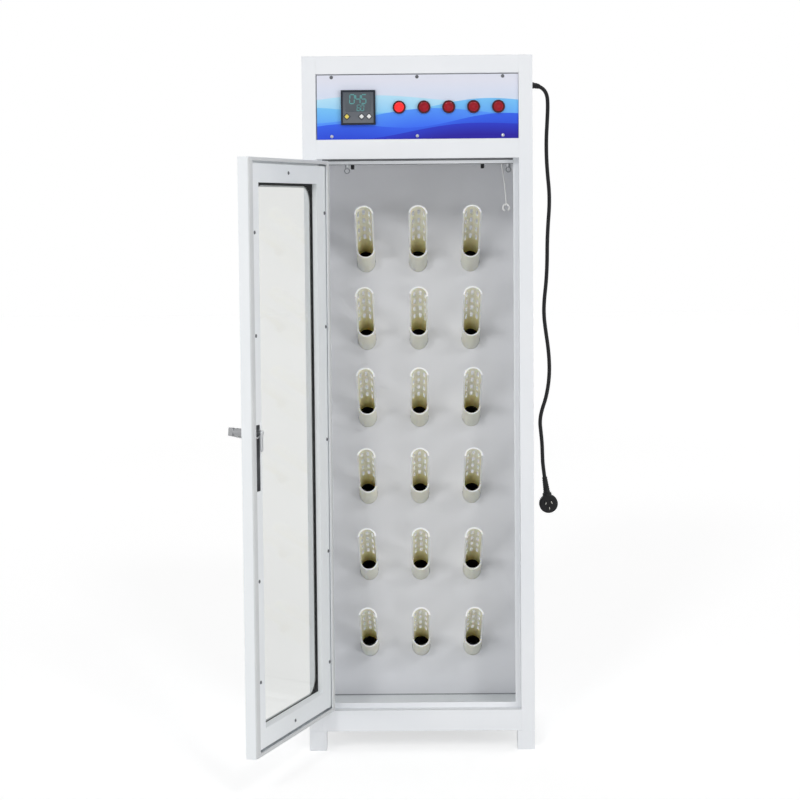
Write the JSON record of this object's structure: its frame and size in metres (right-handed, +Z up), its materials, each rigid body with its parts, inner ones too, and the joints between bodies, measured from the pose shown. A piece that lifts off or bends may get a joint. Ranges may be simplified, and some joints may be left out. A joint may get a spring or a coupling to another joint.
{
  "type": "shoe drying cabinet",
  "caption": "Tall white sheet-steel cabinet on short legs with a glazed side-hung door, a blue control panel and rows of tilted perforated tubes that blow warm air into shoes.",
  "frame": {"origin": "middle of the base underside, between the four legs; the floor is 52 mm below it", "axes": "+X to the right seen from the front, +Y from the front to the back, +Z up"},
  "size_m": [0.8415, 0.9636, 1.835],
  "materials": {
    "case_white": "fine-textured white powder coat",
    "chamber_white": "smooth white powder coat",
    "panel_blue": "printed blue bands under a satin film",
    "controller_black": "moulded, satin",
    "key_plastic": "moulded, glossy",
    "bezel_dark": "moulded, glossy",
    "button_red": "clear red, glossy",
    "tube_ivory": "extruded, satin",
    "socket_black": "moulded, satin",
    "zinc_sheet": "zinc-coated sheet",
    "motor_grey": "dark enamel",
    "heater_metal": "bare metal",
    "lamp_glass": "white coated glass",
    "holder_dark": "moulded, satin",
    "bright_steel": "bright zinc",
    "black_plastic": "moulded, satin",
    "black_rubber": "smooth",
    "lead_white": "smooth",
    "clear_glass": "polished float glass",
    "lock_dark": "dark zinc",
    "handle_metal": "satin metal"
  },
  "bodies": {
    "cabinet": {"side_panel_left": "case_white", "side_panel_right": "case_white", "top_panel": "case_white", "back_cover": "case_white", "base_box": "case_white", "front_frame": "case_white", "tube_panel": "chamber_white", "ceiling_plate": "chamber_white", "legs": "case_white", "control_panel": "panel_blue", "controller_case": "controller_black", "button_bodies": "bezel_dark", "case_screws": "bright_steel", "tube_sockets": "socket_black", "blower_housing": "zinc_sheet", "blower_motor": "motor_grey", "heater": "heater_metal", "lamp_tube": "lamp_glass", "lamp_holders": "holder_dark", "hinge_frame_leaves": "bright_steel", "cord_gland": "black_plastic", "power_cord": "black_rubber", "plug": "black_plastic", "probe_lead": "lead_white"},
    "door": {"door_skin": "case_white", "door_inner_panel": "case_white", "door_glass": "clear_glass", "glass_gasket": "black_rubber", "door_screws": "bright_steel", "lock_body": "lock_dark", "hinge_door_leaves": "bright_steel"},
    "handle": {"handle_lever": "handle_metal", "lock_cam": "bright_steel"},
    "impeller": {"blower_impeller": "zinc_sheet"},
    "tube_1_1": {"drying_tube_1_1": "tube_ivory"},
    "tube_1_2": {"drying_tube_1_2": "tube_ivory"},
    "tube_1_3": {"drying_tube_1_3": "tube_ivory"},
    "tube_2_1": {"drying_tube_2_1": "tube_ivory"},
    "tube_2_2": {"drying_tube_2_2": "tube_ivory"},
    "tube_2_3": {"drying_tube_2_3": "tube_ivory"},
    "tube_3_1": {"drying_tube_3_1": "tube_ivory"},
    "tube_3_2": {"drying_tube_3_2": "tube_ivory"},
    "tube_3_3": {"drying_tube_3_3": "tube_ivory"},
    "tube_4_1": {"drying_tube_4_1": "tube_ivory"},
    "tube_4_2": {"drying_tube_4_2": "tube_ivory"},
    "tube_4_3": {"drying_tube_4_3": "tube_ivory"},
    "tube_5_1": {"drying_tube_5_1": "tube_ivory"},
    "tube_5_2": {"drying_tube_5_2": "tube_ivory"},
    "tube_5_3": {"drying_tube_5_3": "tube_ivory"},
    "tube_6_1": {"drying_tube_6_1": "tube_ivory"},
    "tube_6_2": {"drying_tube_6_2": "tube_ivory"},
    "tube_6_3": {"drying_tube_6_3": "tube_ivory"},
    "button_1": {"button_cap_1": "button_red"},
    "button_2": {"button_cap_2": "button_red"},
    "button_3": {"button_cap_3": "button_red"},
    "button_4": {"button_cap_4": "button_red"},
    "button_5": {"button_cap_5": "button_red"},
    "key_1": {"controller_key_1": "key_plastic"},
    "key_2": {"controller_key_2": "key_plastic"},
    "key_3": {"controller_key_3": "key_plastic"}
  },
  "joints": [
    {"name": "door_hinge", "type": "hinge", "parent": "cabinet", "child": "door", "pos_m": [-0.2625, -0.231, 0.7865], "axis": [0, 0, -1], "range_deg": [-109, 61]},
    {"name": "handle_turn", "type": "hinge", "parent": "door", "child": "handle", "pos_m": [-0.41261, -0.68538, 0.851], "axis": [-0.9455, 0.3256, 0], "range_deg": [0, 79]},
    {"name": "impeller_spin", "type": "hinge", "parent": "cabinet", "child": "impeller", "pos_m": [0, 0.1086, 1.6322], "axis": [1, 0, 0], "continuous": true},
    {"name": "button_1_press", "type": "slide", "parent": "cabinet", "child": "button_1", "axis": [0, 1, 0], "range_m": [0, 0.003], "stiffness_N_per_m": 400, "springref_m": -0.003},
    {"name": "button_2_press", "type": "slide", "parent": "cabinet", "child": "button_2", "axis": [0, 1, 0], "range_m": [0, 0.003], "stiffness_N_per_m": 400, "springref_m": -0.003},
    {"name": "button_3_press", "type": "slide", "parent": "cabinet", "child": "button_3", "axis": [0, 1, 0], "range_m": [0, 0.003], "stiffness_N_per_m": 400, "springref_m": -0.003},
    {"name": "button_4_press", "type": "slide", "parent": "cabinet", "child": "button_4", "axis": [0, 1, 0], "range_m": [0, 0.003], "stiffness_N_per_m": 400, "springref_m": -0.003},
    {"name": "button_5_press", "type": "slide", "parent": "cabinet", "child": "button_5", "axis": [0, 1, 0], "range_m": [0, 0.003], "stiffness_N_per_m": 400, "springref_m": -0.003},
    {"name": "key_1_press", "type": "slide", "parent": "cabinet", "child": "key_1", "axis": [0, 1, 0], "range_m": [0, 0.0008], "stiffness_N_per_m": 800, "springref_m": -0.001},
    {"name": "key_2_press", "type": "slide", "parent": "cabinet", "child": "key_2", "axis": [0, 1, 0], "range_m": [0, 0.0008], "stiffness_N_per_m": 800, "springref_m": -0.001},
    {"name": "key_3_press", "type": "slide", "parent": "cabinet", "child": "key_3", "axis": [0, 1, 0], "range_m": [0, 0.0008], "stiffness_N_per_m": 800, "springref_m": -0.001},
    {"name": "tube_1_1_turn", "type": "hinge", "parent": "cabinet", "child": "tube_1_1", "pos_m": [-0.144, 0.105, 1.241], "axis": [0, -0.8829, 0.4695], "range_deg": [-45, 45]},
    {"name": "tube_1_2_turn", "type": "hinge", "parent": "cabinet", "child": "tube_1_2", "pos_m": [0, 0.105, 1.241], "axis": [0, -0.8829, 0.4695], "range_deg": [-45, 45]},
    {"name": "tube_1_3_turn", "type": "hinge", "parent": "cabinet", "child": "tube_1_3", "pos_m": [0.144, 0.105, 1.241], "axis": [0, -0.8829, 0.4695], "range_deg": [-45, 45]},
    {"name": "tube_2_1_turn", "type": "hinge", "parent": "cabinet", "child": "tube_2_1", "pos_m": [-0.144, 0.105, 1.025], "axis": [0, -0.8829, 0.4695], "range_deg": [-45, 45]},
    {"name": "tube_2_2_turn", "type": "hinge", "parent": "cabinet", "child": "tube_2_2", "pos_m": [0, 0.105, 1.025], "axis": [0, -0.8829, 0.4695], "range_deg": [-45, 45]},
    {"name": "tube_2_3_turn", "type": "hinge", "parent": "cabinet", "child": "tube_2_3", "pos_m": [0.144, 0.105, 1.025], "axis": [0, -0.8829, 0.4695], "range_deg": [-45, 45]},
    {"name": "tube_3_1_turn", "type": "hinge", "parent": "cabinet", "child": "tube_3_1", "pos_m": [-0.144, 0.105, 0.809], "axis": [0, -0.8829, 0.4695], "range_deg": [-45, 45]},
    {"name": "tube_3_2_turn", "type": "hinge", "parent": "cabinet", "child": "tube_3_2", "pos_m": [0, 0.105, 0.809], "axis": [0, -0.8829, 0.4695], "range_deg": [-45, 45]},
    {"name": "tube_3_3_turn", "type": "hinge", "parent": "cabinet", "child": "tube_3_3", "pos_m": [0.144, 0.105, 0.809], "axis": [0, -0.8829, 0.4695], "range_deg": [-45, 45]},
    {"name": "tube_4_1_turn", "type": "hinge", "parent": "cabinet", "child": "tube_4_1", "pos_m": [-0.144, 0.105, 0.593], "axis": [0, -0.8829, 0.4695], "range_deg": [-45, 45]},
    {"name": "tube_4_2_turn", "type": "hinge", "parent": "cabinet", "child": "tube_4_2", "pos_m": [0, 0.105, 0.593], "axis": [0, -0.8829, 0.4695], "range_deg": [-45, 45]},
    {"name": "tube_4_3_turn", "type": "hinge", "parent": "cabinet", "child": "tube_4_3", "pos_m": [0.144, 0.105, 0.593], "axis": [0, -0.8829, 0.4695], "range_deg": [-45, 45]},
    {"name": "tube_5_1_turn", "type": "hinge", "parent": "cabinet", "child": "tube_5_1", "pos_m": [-0.144, 0.105, 0.377], "axis": [0, -0.8829, 0.4695], "range_deg": [-45, 45]},
    {"name": "tube_5_2_turn", "type": "hinge", "parent": "cabinet", "child": "tube_5_2", "pos_m": [0, 0.105, 0.377], "axis": [0, -0.8829, 0.4695], "range_deg": [-45, 45]},
    {"name": "tube_5_3_turn", "type": "hinge", "parent": "cabinet", "child": "tube_5_3", "pos_m": [0.144, 0.105, 0.377], "axis": [0, -0.8829, 0.4695], "range_deg": [-45, 45]},
    {"name": "tube_6_1_turn", "type": "hinge", "parent": "cabinet", "child": "tube_6_1", "pos_m": [-0.144, 0.105, 0.161], "axis": [0, -0.8829, 0.4695], "range_deg": [-45, 45]},
    {"name": "tube_6_2_turn", "type": "hinge", "parent": "cabinet", "child": "tube_6_2", "pos_m": [0, 0.105, 0.161], "axis": [0, -0.8829, 0.4695], "range_deg": [-45, 45]},
    {"name": "tube_6_3_turn", "type": "hinge", "parent": "cabinet", "child": "tube_6_3", "pos_m": [0.144, 0.105, 0.161], "axis": [0, -0.8829, 0.4695], "range_deg": [-45, 45]}
  ]
}
